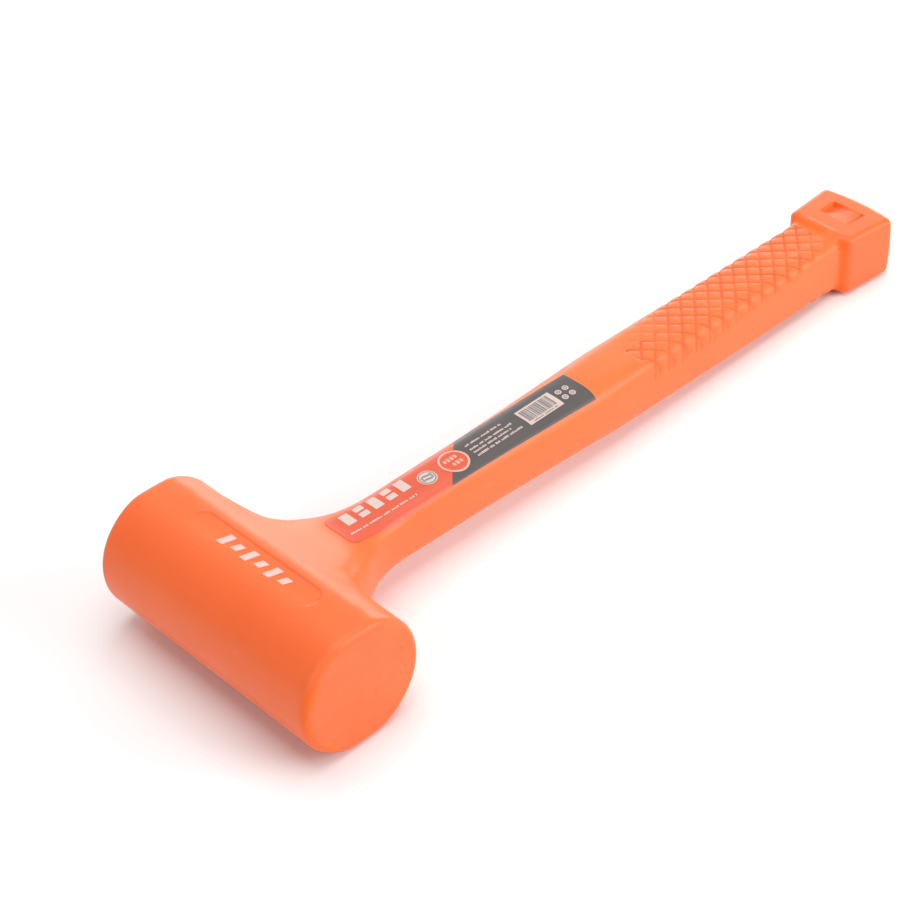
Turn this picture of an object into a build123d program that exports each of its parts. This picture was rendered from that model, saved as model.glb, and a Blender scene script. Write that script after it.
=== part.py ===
"""Dead blow mallet: soft moulded jacket over a steel canister of loose shot and a steel handle core.

Tool frame while modelling: origin at the centre of the head, X along the head from face to face,
Y along the handle toward the pommel, Z up. At the end everything is tilted about X and lifted,
so the mallet lies on the floor on its head and its pommel. Millimetres throughout.
"""
import os
from math import atan2, cos, degrees, hypot, pi, radians, sin, sqrt

from build123d import *

os.makedirs("parts", exist_ok=True)

# head jacket
HEAD_D = 45.0
HEAD_L = 96.0
HEAD_RIM = 2.6          # rounding of each striking face's edge
FLAT_W = 12.0           # full-length flat on the top and the bottom of the head
PANEL_L = 56.5          # shallow rounded panel sunk in each flat
PANEL_W = 10.0
PANEL_X = 1.0
PANEL_DEPTH = 0.35

# neck and shaft: (station along Y, half width, half thickness, squareness of the section)
SECTIONS = [
    (5.0, 29.0, 19.4, 5.0),
    (9.0, 26.5, 19.1, 5.0),
    (14.0, 23.4, 17.9, 5.0),
    (19.0, 20.2, 16.0, 4.8),
    (24.0, 17.4, 13.9, 4.6),
    (29.0, 15.2, 11.9, 4.4),
    (34.0, 13.1, 10.7, 4.2),
    (40.0, 11.0, 10.2, 4.0),
    (48.0, 9.5, 10.05, 4.0),
    (60.0, 9.0, 10.05, 4.0),
    (75.0, 9.25, 10.2, 3.9),
    (90.0, 9.65, 10.35, 3.7),
    (105.0, 10.2, 10.6, 3.5),
    (120.0, 10.9, 10.9, 3.3),
    (135.0, 11.5, 11.15, 3.3),
    (147.0, 11.6, 11.1, 3.8),
    (154.0, 11.4, 10.95, 4.4),
    (160.0, 11.2, 10.75, 5.0),
]
NECK_FILLET = 18.0      # blend of the neck into the head
POINTS = 20             # points round each section

# grip: constant section with slightly crowned sides
GRIP_HALF_W = 11.2
GRIP_HALF_T = 10.75
GRIP_CORNER_R = 4.35
GRIP_CORNER_AT = (6.69, 6.22)   # centre of the corner rounding
GRIP_Y0 = 161.5
GRIP_Y1 = 258.0
GROOVE_PITCH = 4.7
GROOVE_W = 0.8
GROOVE_DEPTH = 0.55
GROOVE_ANGLE = 46.0

# pommel
POMMEL_Y0 = 262.0
POMMEL_Y1 = 287.0       # at the middle of the slightly domed end
POMMEL_DOME = 120.0
POMMEL_FRONT = (13.2, 11.7)   # half width, half thickness
POMMEL_REAR = (15.9, 11.4)
POMMEL_ROUND = 1.7
RECESS = (13.2, 8.0, 1.6)     # across, along, deep at its middle
RECESS_Y = 274.9
RECESS_LEAN = 3.5             # degrees; its floor is deeper toward -X

# steel skeleton inside
CAN_R = 18.0
CAN_WALL = 1.5
CAN_HALF_L = 39.5       # half length of the tube
CAP_T = 2.0
CAP_SPIGOT = 2.5
BEAD = 0.9              # height of the seam weld beads
ROD_R = 4.5
ROD_END = 250.0
ROD_RING_Y = (226.0, 232.0, 238.0, 244.0)
ROD_WELD_R = 8.0
GAP = 0.1               # moulding clearance used in the solids

# loose steel shot
SHOT_D = 6.0
SHOT_SPACE = 6.12
SHOT_LAYERS = 9

# label film on the handle
LABEL_Y0 = 32.7
LABEL_Y1 = 137.8
LABEL_MID_Y = 80.0
LABEL_NEAR_X = (-6.7, 8.2)  # its two long edges at the near end, at LABEL_MID_Y and at the far end
LABEL_MID_X = (-7.2, 7.8)
LABEL_FAR_X = (-5.3, 9.7)
LABEL_NEAR_R = 3.0          # corner rounding
LABEL_FAR_R = 0.8
LABEL_CUT = (89.5, 74.6)  # slanted colour change: station at the -X edge and at the +X edge
RING_AT = (0.8, 82.0)
RING_R = 5.2
RING_LINE = 0.7
DISC_AT = (0.65, 70.6)
DISC_R = 3.3
WORD_AT = (-2.2, 51.0)    # plain blocks where a name would be
WORD_SIZE = (5.4, 28.5)
WORD_BLOCKS = 5
TAG_AT = (4.0, 49.8)
TAG_SIZE = (1.1, 26.5)
LINES = ((-1.85, 15.7), (0.5, 18.7), (2.3, 16.0), (4.15, 19.5))  # station across and length
LINES_Y0 = 89.4
LINE_W = 0.75
CODE_AT = (1.65, 119.5)
CODE_SIZE = (7.9, 15.2)
CODE_BARS = ((0.9, 0.5), (1.9, 0.9), (3.4, 0.4), (4.3, 0.7), (6.0, 1.1), (7.6, 0.5), (8.6, 0.9), (10.2, 0.5),
             (11.3, 0.8), (12.9, 0.6))
SPOT_R = 1.05
SPOTS = ((0.3, 129.6), (0.3, 132.9), (3.6, 129.6), (3.6, 132.9))
MARK_AT = (2.2, 0.1)      # plain slanted blocks on the head's panel
MARK_SIZE = (32.0, 5.0)
FILM = 0.12
INK = 0.05
LIFT = 0.02

half = HEAD_L / 2
radius = HEAD_D / 2
flat_z = sqrt(radius ** 2 - (FLAT_W / 2) ** 2)


# ---------------------------------------------------------------- helpers
def x_cylinder(r, x0, x1):
    """Cylinder of radius r about the X axis from x0 to x1."""
    body = Cylinder(r, x1 - x0, align=(Align.CENTER, Align.CENTER, Align.MIN))
    return Pos(x0, 0, 0) * Rot(0, 90, 0) * body


def y_cylinder(r, y0, y1):
    """Cylinder of radius r about the Y axis from y0 to y1."""
    body = Cylinder(r, y1 - y0, align=(Align.CENTER, Align.CENTER, Align.MIN))
    return Pos(0, y0, 0) * Rot(-90, 0, 0) * body


def oval_points(w, h, n, grow=0.0):
    """Points round a rounded-square section, moved outward evenly by grow."""
    points = []
    for i in range(POINTS):
        t = 2 * pi * (i + 0.5) / POINTS
        c = cos(t)
        s = sin(t)
        x = w * abs(c) ** (2 / n) * (1 if c > 0 else -1)
        z = h * abs(s) ** (2 / n) * (1 if s > 0 else -1)
        nx = abs(x / w) ** (n - 1) / w * (1 if x > 0 else -1)
        nz = abs(z / h) ** (n - 1) / h * (1 if z > 0 else -1)
        d = hypot(nx, nz)
        points.append((x + grow * nx / d, z + grow * nz / d))
    return points


def shared_parameters():
    """One spacing of parameters for every section, so the loft stays light and even."""
    points = oval_points(10.5, 10.5, 4.0)
    steps = []
    for i in range(POINTS):
        p = points[i]
        q = points[(i + 1) % POINTS]
        steps.append(hypot(q[0] - p[0], q[1] - p[1]))
    total = sum(steps)
    marks = [0.0]
    for step in steps:
        marks.append(marks[-1] + step / total)
    marks[-1] = 1.0
    return marks


def oval(y, w, h, n, grow=0.0):
    """Closed section wire in the plane Y = y."""
    points = [Vector(x, y, z) for x, z in oval_points(w, h, n, grow)]
    return Wire([Edge.make_spline(points, periodic=True, parameters=shared_parameters())])


def neck_and_shaft(grow=0.0):
    """Neck and shaft lofted through the sections, optionally grown evenly."""
    wires = [oval(y, w, h, n, grow) for y, w, h, n in SECTIONS]
    return Solid.make_loft(wires, ruled=False)


def grip_outline():
    """Rounded square of eight tangent arcs, drawn in the XZ plane."""
    cx, cz = GRIP_CORNER_AT
    r = GRIP_CORNER_R
    top_r = (r ** 2 - cx ** 2 - (cz - GRIP_HALF_T) ** 2) / (2 * (cz + r - GRIP_HALF_T))
    side_r = (r ** 2 - cz ** 2 - (cx - GRIP_HALF_W) ** 2) / (2 * (cx + r - GRIP_HALF_W))
    top_y = GRIP_HALF_T - top_r
    side_x = GRIP_HALF_W - side_r
    k = top_r / hypot(cx, cz - top_y)
    a = (cx * k, top_y + (cz - top_y) * k)
    k = side_r / hypot(cx - side_x, cz)
    b = (side_x + (cx - side_x) * k, cz * k)
    d = hypot(cx, cz)
    m = (cx + r * cx / d, cz + r * cz / d)
    top = (0, GRIP_HALF_T)
    side = (GRIP_HALF_W, 0)
    edges = []
    for sx, sy in ((1, 1), (-1, 1), (-1, -1), (1, -1)):
        flip = [(sx * p[0], sy * p[1]) for p in (a, m, b)]
        edges.append(ThreePointArc(*flip))
    for s in (1, -1):
        edges.append(ThreePointArc((-a[0], s * a[1]), (0, s * top[1]), (a[0], s * a[1])))
        edges.append(ThreePointArc((s * b[0], -b[1]), (s * side[0], 0), (s * b[0], b[1])))
    plane = Plane(origin=(0, 0, 0), x_dir=(1, 0, 0), z_dir=(0, -1, 0))
    return plane * make_face(edges)


def grip_block(y0, y1):
    face = Pos(0, y1, 0) * grip_outline()
    return extrude(face, y1 - y0, dir=(0, -1, 0))


def bar(length, width, height, x, y, z, angle=0.0):
    """Flat bar centred at a point and turned about Z."""
    return Pos(x, y, z) * Rot(0, 0, angle) * Box(length, width, height)


def solids_of(shape):
    return list(shape.solids())


# ---------------------------------------------------------------- jacket
def head_block():
    block = x_cylinder(radius, -half, half)
    block = fillet(block.edges().filter_by(GeomType.CIRCLE), HEAD_RIM)
    for side in (1, -1):
        block -= Pos(0, 0, side * (flat_z + 5)) * Box(HEAD_L + 4, HEAD_D, 10)
    return block


def panel_cutter(side):
    """Sunk panel with rounded ends in the head's flat."""
    sketch = SlotOverall(PANEL_L, PANEL_W)
    cutter = extrude(sketch, 10)
    z = flat_z - PANEL_DEPTH
    if side > 0:
        return Pos(PANEL_X, 0, z) * cutter
    return Pos(PANEL_X, 0, -z - 10) * cutter


def pommel_block():
    """Flared square block with a domed end and soft edges."""
    front = Plane(origin=(0, POMMEL_Y0, 0), x_dir=(1, 0, 0), z_dir=(0, -1, 0))
    rear = Plane(origin=(0, POMMEL_Y1 + 1, 0), x_dir=(1, 0, 0), z_dir=(0, -1, 0))
    a = front * Rectangle(2 * POMMEL_FRONT[0], 2 * POMMEL_FRONT[1])
    b = rear * Rectangle(2 * POMMEL_REAR[0], 2 * POMMEL_REAR[1])
    block = loft([a.face(), b.face()])
    block = block & Pos(0, POMMEL_Y1 - POMMEL_DOME, 0) * Sphere(POMMEL_DOME)
    return fillet(block.edges(), POMMEL_ROUND)


def recess_cutter(side):
    w, l, d = RECESS
    z = side * (POMMEL_REAR[1] + 0.15 + 5 - d)
    cutter = Box(w, l, 10)
    cutter = fillet(cutter.edges().filter_by(Axis.Z), 1.0)
    return Pos(0, RECESS_Y, z) * Rot(0, -side * RECESS_LEAN, 0) * cutter


def groove_cutters():
    """Two crossing families of shallow straight grooves over the grip, top and bottom."""
    cutters = []
    reach = 60.0
    floor = GRIP_HALF_T - GROOVE_DEPTH
    mid = (GRIP_Y0 + GRIP_Y1) / 2
    count = 12
    window = Pos(0, mid, 0) * Box(40, GRIP_Y1 - GRIP_Y0, 60)
    for turn in (GROOVE_ANGLE, 180 - GROOVE_ANGLE):
        step = GROOVE_PITCH / cos(radians(GROOVE_ANGLE))
        for i in range(-count, count + 1):
            y = mid + i * step
            for side in (1, -1):
                z = side * (floor + 4)
                cutters.append(bar(reach, GROOVE_W, 8, 0, y, z, turn) & window)
    return [s for c in cutters for s in solids_of(c)]


def canister_room():
    """Space in the jacket for the canister, its seams and its rod weld."""
    end = CAN_HALF_L + CAP_T + GAP
    room = x_cylinder(CAN_R + GAP, -end, end)
    for side in (-1, 1):
        x = side * CAN_HALF_L
        room += x_cylinder(CAN_R + BEAD + GAP, x - 1.6, x + 1.6)
    room += y_cylinder(ROD_R + GAP, 0, ROD_END + GAP)
    room += y_cylinder(ROD_WELD_R + GAP, 0, CAN_R + 4.2)
    return room


def rod_rings(extra=0.0):
    rings = None
    for y in ROD_RING_Y:
        ring = y_cylinder(ROD_R + 0.9 + extra, y - 1.2 - extra, y + 1.2 + extra)
        rings = ring if rings is None else rings + ring
    return rings


def make_jacket():
    body = head_block() + neck_and_shaft()
    # the neck's seam with the head is the closed edge nearest the head
    done = False
    for r in (NECK_FILLET, 15.0, 13.0, 11.0, 9.0, 7.0, 5.0, 3.0):
        if done:
            break
        seam = [
            e for e in body.edges()
            if 9.0 < e.center().Y < 24.0 and e.length > 3.0
            and abs(e.center().X) < 29.0
            and abs(e.center().Z) < 20.9
        ]
        try:
            trial = fillet(seam, r)
            if trial.is_valid and len(trial.solids()) == 1 and trial.volume > body.volume:
                body = trial
                done = True
                print("neck fillet", r, len(seam))
        except Exception as error:
            print("neck fillet", r, "failed", type(error).__name__)
    grip = grip_block(SECTIONS[-1][0], POMMEL_Y0 + 4) - groove_cutters()
    body = body + grip + pommel_block()
    for side in (1, -1):
        body -= panel_cutter(side)
        body -= recess_cutter(side)
    body = body - canister_room() - rod_rings(GAP)
    return body


# ---------------------------------------------------------------- steel skeleton
def make_canister():
    tube = x_cylinder(CAN_R, -CAN_HALF_L, CAN_HALF_L)
    tube -= x_cylinder(CAN_R - CAN_WALL, -CAN_HALF_L - 1, CAN_HALF_L + 1)
    return tube


def make_cap(side):
    x0 = CAN_HALF_L
    disc = x_cylinder(CAN_R, x0, x0 + CAP_T)
    disc += x_cylinder(CAN_R - CAN_WALL - 0.1, x0 - CAP_SPIGOT, x0)
    disc -= x_cylinder(CAN_R - CAN_WALL - 2.2, x0 - CAP_SPIGOT - 1, x0 - 0.2)
    if side < 0:
        disc = disc.mirror(Plane.YZ)
    return disc


def make_seam_bead(side):
    """Welded seam between the tube and an end cap."""
    x = side * CAN_HALF_L
    ring = x_cylinder(CAN_R + BEAD, x - 1.5, x + 1.5)
    ring = chamfer(ring.edges().filter_by(GeomType.CIRCLE), 0.55)
    return ring - x_cylinder(CAN_R + 0.03, x - 3, x + 3)


def make_rod():
    rod = y_cylinder(ROD_R, 0, ROD_END)
    rod = chamfer(rod.edges().filter_by(GeomType.CIRCLE).sort_by(Axis.Y)[-1], 0.8)
    rod += rod_rings()
    return rod - x_cylinder(CAN_R + 0.05, -30, 30)


def make_rod_weld():
    """Fillet weld ring where the rod meets the canister."""
    foot = sqrt(CAN_R ** 2 - ROD_WELD_R ** 2)
    cone = Cone(ROD_WELD_R, ROD_R + 0.3, CAN_R + 4 - foot, align=(Align.CENTER, Align.CENTER, Align.MIN))
    weld = Pos(0, foot, 0) * Rot(-90, 0, 0) * cone
    weld -= x_cylinder(CAN_R + 0.05, -30, 30)
    return weld - y_cylinder(ROD_R + 0.03, 0, 40)


def make_shot():
    """Loose charge of steel balls, stacked in close layers across the canister."""
    limit = CAN_R - CAN_WALL - 0.25 - SHOT_D / 2
    pitch = SHOT_SPACE
    layer_step = pitch * sqrt(2 / 3)
    balls = []
    for k in range(SHOT_LAYERS):
        x = (k - (SHOT_LAYERS - 1) / 2) * layer_step
        off_y = 0.0 if k % 2 == 0 else pitch / sqrt(3)
        for i in range(-4, 5):
            for j in range(-4, 5):
                y = j * pitch * sqrt(3) / 2 + off_y
                z = (i + j / 2) * pitch
                if hypot(y, z) <= limit:
                    balls.append(Pos(x, y, z) * Sphere(SHOT_D / 2))
    return balls


# ---------------------------------------------------------------- printed film
def shell(inner, outer):
    """Thin skin just above the neck and shaft between two even offsets."""
    return neck_and_shaft(outer) - neck_and_shaft(inner)


def above(face, z0=4.0):
    """Upright prism standing on a flat outline."""
    return Pos(0, 0, z0) * extrude(face, 12)


def label_outline():
    """Outline of the film: straight ends, gently curved long edges, rounded corners."""
    left, right = [
        [(LABEL_NEAR_X[i], LABEL_Y0), (LABEL_MID_X[i], LABEL_MID_Y), (LABEL_FAR_X[i], LABEL_Y1)]
        for i in (0, 1)
    ]
    edges = [ThreePointArc(*left), ThreePointArc(*right), Line(left[0], right[0]), Line(left[2], right[2])]
    face = make_face(edges)
    near = [v for v in face.vertices() if v.Y < LABEL_Y0 + 1]
    face = fillet(near, LABEL_NEAR_R)
    far = [v for v in face.vertices() if v.Y > LABEL_Y1 - 1]
    return fillet(far, LABEL_FAR_R)


def label_part(dark, skin):
    """One colour of the film, split along the slanted cut around the ring."""
    ya, yb = LABEL_CUT
    split = make_face(Polyline((-20, ya + (ya - yb) * 0.8), (20, yb - (ya - yb) * 0.8), (20, 200), (-20, 200),
                               close=True))
    outline = label_outline()
    face = outline & split if dark else outline - split
    return above(face) & skin


def slanted(x, y, w, h, lean):
    """Parallelogram outline centred at a point, leaning along X."""
    a = lean / 2
    pts = [(x - w / 2 - a, y - h / 2), (x + w / 2 - a, y - h / 2), (x + w / 2 + a, y + h / 2), (x - w / 2 + a, y + h / 2)]
    return make_face(Polyline(*pts, close=True))


def rectangle(x, y, w, h):
    return slanted(x, y, w, h, 0)


def disc(x, y, r):
    return Pos(x, y, 0) * Circle(r).face()


def word_faces(x, y, w, h):
    """Row of plain blocks along Y: tall, short pair, tall, and so on."""
    faces = []
    step = h / WORD_BLOCKS
    for i in range(WORD_BLOCKS):
        cy = y - h / 2 + (i + 0.5) * step
        if i % 2 == 0:
            faces.append(rectangle(x, cy, w, step * 0.62))
        else:
            faces.append(rectangle(x - w * 0.29, cy, w * 0.42, step * 0.62))
            faces.append(rectangle(x + w * 0.29, cy, w * 0.42, step * 0.62))
    return faces


def white_faces():
    faces = word_faces(*WORD_AT, *WORD_SIZE)
    faces.append(rectangle(*TAG_AT, *TAG_SIZE))
    faces.append(disc(*DISC_AT, DISC_R))
    faces.append(disc(*RING_AT, RING_R) - disc(*RING_AT, RING_R - RING_LINE))
    for x, length in LINES:
        faces.append(rectangle(x, LINES_Y0 + length / 2, LINE_W, length))
    faces.append(rectangle(*CODE_AT, *CODE_SIZE))
    for x, y in SPOTS:
        faces.append(disc(x, y, SPOT_R))
    return faces


def grey_faces():
    faces = [disc(*DISC_AT, DISC_R - 0.6) - disc(DISC_AT[0] + 0.7, DISC_AT[1] - 0.7, DISC_R - 1.5)]
    y0 = CODE_AT[1] - CODE_SIZE[1] / 2
    for at, width in CODE_BARS:
        faces.append(rectangle(CODE_AT[0], y0 + at + width / 2, CODE_SIZE[0] - 2.0, width))
    return faces


def printed(faces, level):
    """Ink layer following the film: flat outlines laid over the skin."""
    skin = shell(level + 0.004, level + INK)
    pieces = []
    for face in faces:
        pieces += solids_of(above(face) & skin)
    return pieces


def head_mark():
    """Slanted blocks printed in the head's upper panel."""
    blocks = 6
    w, h = MARK_SIZE
    step = w / blocks
    z = flat_z - PANEL_DEPTH + 0.01
    pieces = []
    for i in range(blocks):
        x = MARK_AT[0] - w / 2 + (i + 0.5) * step
        tall = h if i % 2 == 0 else h * 0.62
        outline = slanted(x, MARK_AT[1], step * 0.5, tall, 1.2)
        pieces += solids_of(Pos(0, 0, z) * extrude(outline, INK))
    return pieces


PART_NODES = {}


def add(name, shape):
    PART_NODES[name] = solids_of(shape) if not isinstance(shape, list) else shape


# ---------------------------------------------------------------- build
add("jacket", make_jacket())
add("canister_tube", make_canister())
add("canister_cap_a", make_cap(1))
add("canister_cap_b", make_cap(-1))
add("seam_weld_a", make_seam_bead(1))
add("seam_weld_b", make_seam_bead(-1))
add("handle_rod", make_rod())
add("rod_weld", make_rod_weld())
add("shot_charge", make_shot())

film = shell(LIFT, LIFT + FILM)
add("label_red", label_part(False, film))
add("label_dark", label_part(True, film))

add("label_print", printed(white_faces(), LIFT + FILM))
add("label_print_grey", printed(grey_faces(), LIFT + FILM + INK))
add("head_mark", head_mark())

# ---------------------------------------------------------------- lay on the floor
reach_y = POMMEL_Y1
drop = flat_z - POMMEL_REAR[1]
tilt = degrees(atan2(drop, reach_y))
for name, solids in PART_NODES.items():
    print(name, len(solids), "vol", round(sum(s.volume for s in solids), 1))

turned = {n: [Rot(-tilt, 0, 0) * s for s in solids] for n, solids in PART_NODES.items()}
box = turned["jacket"][0].bounding_box()
lift = -box.min.Z
back = -(box.min.Y + box.max.Y) / 2
print("head centre", 0, round(back, 3), round(lift, 3), "tilt", round(tilt, 4))
for name, solids in turned.items():
    placed = [Pos(0, back, lift) * s for s in solids]
    shape = placed[0] if len(placed) == 1 else Compound(children=placed)
    export_step(shape, f"parts/{name}.step")
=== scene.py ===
"""Looks of the dead blow mallet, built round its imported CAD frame.

The moulded jacket is one closed surface: a distance field of the head, the swept neck and grip and the
pommel is sampled on a graded grid and turned into quads. The sticker and its print are thin skins laid on
that surface. The tool frame is the CAD's: origin at the head's centre, X along the head, Y along the
handle, Z up, in millimetres, before the tool is tilted to lie on its head and its pommel.
"""
import random
from math import atan2, cos, pi, radians, sin, sqrt

import bmesh
import bpy
import numpy as np
from mathutils import Matrix, Vector


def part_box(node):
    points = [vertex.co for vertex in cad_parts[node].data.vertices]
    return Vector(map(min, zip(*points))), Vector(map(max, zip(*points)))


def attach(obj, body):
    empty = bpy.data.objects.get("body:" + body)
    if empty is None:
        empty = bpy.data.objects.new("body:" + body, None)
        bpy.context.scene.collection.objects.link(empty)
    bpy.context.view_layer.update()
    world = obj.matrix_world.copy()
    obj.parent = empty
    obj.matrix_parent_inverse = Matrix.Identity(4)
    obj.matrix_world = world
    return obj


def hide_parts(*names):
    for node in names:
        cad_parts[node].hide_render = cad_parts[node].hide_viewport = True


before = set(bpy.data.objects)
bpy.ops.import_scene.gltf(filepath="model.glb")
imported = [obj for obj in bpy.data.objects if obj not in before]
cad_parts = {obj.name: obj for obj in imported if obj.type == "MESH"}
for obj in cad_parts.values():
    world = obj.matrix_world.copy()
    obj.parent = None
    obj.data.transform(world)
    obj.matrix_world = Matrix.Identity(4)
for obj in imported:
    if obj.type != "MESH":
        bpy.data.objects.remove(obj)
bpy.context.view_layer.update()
MM = 0.001

# head
HEAD_R = 22.5
HEAD_HALF = 48.0
HEAD_RIM = 2.7
FLAT_HALF = 6.0
FLAT_Z = sqrt(HEAD_R ** 2 - FLAT_HALF ** 2)
PANEL_X = 1.0           # middle of the sunk panel along the head
PANEL_HALF = (28.25, 5.0)
PANEL_DEPTH = 0.35

# neck, shaft and grip: station along Y, half width, half thickness, squareness
SECTIONS = (
    (5.0, 29.0, 19.4, 5.0),
    (9.0, 27.0, 19.1, 5.0),
    (14.0, 25.0, 17.9, 5.0),
    (19.0, 21.9, 16.0, 4.8),
    (24.0, 17.7, 13.9, 4.6),
    (29.0, 14.8, 11.9, 4.4),
    (34.0, 12.9, 10.7, 4.2),
    (40.0, 11.0, 10.2, 4.0),
    (48.0, 9.3, 10.05, 4.0),
    (60.0, 9.0, 10.05, 4.0),
    (75.0, 9.25, 10.2, 3.9),
    (90.0, 9.65, 10.35, 3.7),
    (105.0, 10.2, 10.6, 3.5),
    (120.0, 10.9, 10.9, 3.3),
    (135.0, 11.5, 11.15, 3.3),
    (147.0, 11.6, 11.1, 3.8),
    (154.0, 11.4, 10.95, 4.4),
    (160.0, 11.2, 10.75, 5.0),
    (170.0, 11.2, 10.75, 5.0),
    (220.0, 11.2, 10.75, 5.0),
    (270.0, 11.2, 10.75, 5.0),
)
BODY_Y0 = 5.0           # the swept body starts inside the head and ends inside the pommel
BODY_Y1 = 267.5
NECK_BLEND = (20.0, 40.0)   # rolling radius of the blend into the head: above and below, at the sides

# knurled pads on the grip
KNURL_Y = (161.5, 258.5)
KNURL_PITCH = 4.7
KNURL_ANGLE = radians(46)
KNURL_DEPTH = 0.42
KNURL_WIDTH = 0.5
PILLOW = 0.16           # how far a pad's middle swells
# how far from mid height the pads reach, along Y: the band of pads leans, so it differs at each corner
PADS_UPPER_RIGHT = ((160, 3.2), (194, 3.8), (208, 5.6), (236, 7.2), (250, 9.4), (258, 10.6))
PADS_UPPER_LEFT = ((160, 11.5), (178, 10.8), (188, 9.0), (220, 6.5), (258, 4.0))
PADS_LOWER_RIGHT = ((160, 12.0), (225, 11.5), (236, 9.2), (258, 6.0))

# pommel
POMMEL_Y0 = 262.0
POMMEL_Y1 = 287.0
POMMEL_DOME = 80.0
POMMEL_FRONT = (13.8, 11.8)
POMMEL_REAR = (16.0, 11.5)
POMMEL_ROUND = 2.5
POMMEL_BLEND = 3.0
POMMEL_JOIN = (262.5, 266.5)    # the blend with the grip fades out between these
RECESS_HALF = (6.6, 4.0)
RECESS_Y = 274.9
# its floor rises from the -X end and dips again at the +X end: place along X, depth
RECESS_FLOOR = ((-6.6, 2.3), (-3.4, 1.15), (0.0, 0.4), (3.8, 0.25), (6.6, 0.6))
RECESS_RISE = 0.6           # part of that depth lost at its edge nearer the grip
POMMEL_LIE = 11.4       # the mallet lies on the head's flat and on the pommel's rear edge
POMMEL_LONG = 287.0

# room inside for the steel skeleton
ROOM_R = 18.1
ROOM_HALF = 41.6
SEAM_X = 39.5
SEAM_R = 19.0
BORE_R = 4.6
BORE_END = 250.1
WELD_R = 8.1
RING_Y = (226.0, 232.0, 238.0, 244.0)
RING_R = 5.5

# ------------------------------------------------------------------ jacket field


def natural_spline(at, values):
    """Values of a natural cubic spline, as a function of a numpy array."""
    at = np.asarray(at, float)
    values = np.asarray(values, float)
    n = len(at)
    step = np.diff(at)
    rise = np.diff(values) / step
    system = np.eye(n)
    right = np.zeros(n)
    for i in range(1, n - 1):
        system[i, i - 1] = step[i - 1]
        system[i, i] = 2 * (step[i - 1] + step[i])
        system[i, i + 1] = step[i]
        right[i] = 6 * (rise[i] - rise[i - 1])
    bend = np.linalg.solve(system, right)

    def curve(q):
        i = np.clip(np.searchsorted(at, q) - 1, 0, n - 2)
        h = step[i]
        a = (at[i + 1] - q) / h
        b = (q - at[i]) / h
        return (a * values[i] + b * values[i + 1]
                + ((a ** 3 - a) * bend[i] + (b ** 3 - b) * bend[i + 1]) * h * h / 6)

    return curve


def table_of(column):
    """A section measure along the handle, sampled densely with its slope."""
    curve = natural_spline([s[0] for s in SECTIONS], [s[column] for s in SECTIONS])
    y = np.linspace(SECTIONS[0][0], SECTIONS[-1][0], 2000)
    value = curve(y)
    return y, value, np.gradient(value, y)


WIDTH_TABLE = table_of(1)
THICK_TABLE = table_of(2)
SQUARE_TABLE = table_of(3)
RECESS_CURVE = natural_spline(*zip(*RECESS_FLOOR))


def smooth_step(a, b, q):
    t = np.clip((q - a) / (b - a), 0, 1)
    return t * t * (3 - 2 * t)


def soft_min(a, b, k):
    """Union with a soft blend that reaches k."""
    m = np.maximum(k - np.abs(a - b), 0)
    return np.minimum(a, b) - m * m / (4 * k)


def round_max(sides, r):
    """Intersection of several half spaces with edges rounded to radius r."""
    shifted = [s + r for s in sides]
    out = sum(np.maximum(s, 0) ** 2 for s in shifted)
    deepest = shifted[0]
    for s in shifted[1:]:
        deepest = np.maximum(deepest, s)
    return np.sqrt(out) + np.minimum(deepest, 0) - r


def into_panel(x, y):
    """How far inside the sunk panel's outline a point is, seen from above."""
    along = np.maximum(np.abs(x - PANEL_X) - (PANEL_HALF[0] - PANEL_HALF[1]), 0)
    return PANEL_HALF[1] - np.hypot(along, y)


def head_field(x, y, z, detail):
    """Round head with flats, soft rims and the two sunk panels."""
    flat_round = 0.9
    tube = -soft_min(HEAD_R - np.hypot(y, z), FLAT_Z - np.abs(z), flat_round)
    body = round_max((tube, np.abs(x) - HEAD_HALF), HEAD_RIM)
    sunk = PANEL_DEPTH * smooth_step(-0.25, 0.45, into_panel(x, y)) * smooth_step(-PANEL_HALF[1], 0.5, y)
    return body + detail * sunk * (np.abs(z) > HEAD_R / 2)


def swept_field(x, y, z):
    """Rounded-square body swept along Y, and its outward direction."""
    w = np.interp(y, *WIDTH_TABLE[:2])
    h = np.interp(y, *THICK_TABLE[:2])
    n = np.interp(y, *SQUARE_TABLE[:2])
    dw = np.interp(y, WIDTH_TABLE[0], WIDTH_TABLE[2])
    dh = np.interp(y, THICK_TABLE[0], THICK_TABLE[2])
    u = np.maximum(np.abs(x) / w, 1e-3)
    v = np.maximum(np.abs(z) / h, 1e-3)
    g = (u ** n + v ** n) ** (1 / n)
    a = (u / g) ** (n - 1)
    b = (v / g) ** (n - 1)
    gx = a / w * np.sign(x)
    gz = b / h * np.sign(z)
    gy = -(a * u * dw / w + b * v * dh / h)
    slope = np.sqrt(gx * gx + gy * gy + gz * gz)
    field = (g - 1) / slope
    field = np.maximum(field, np.maximum(BODY_Y0 - y, y - BODY_Y1))
    return field, gx / slope, gy / slope, gz / slope


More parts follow.
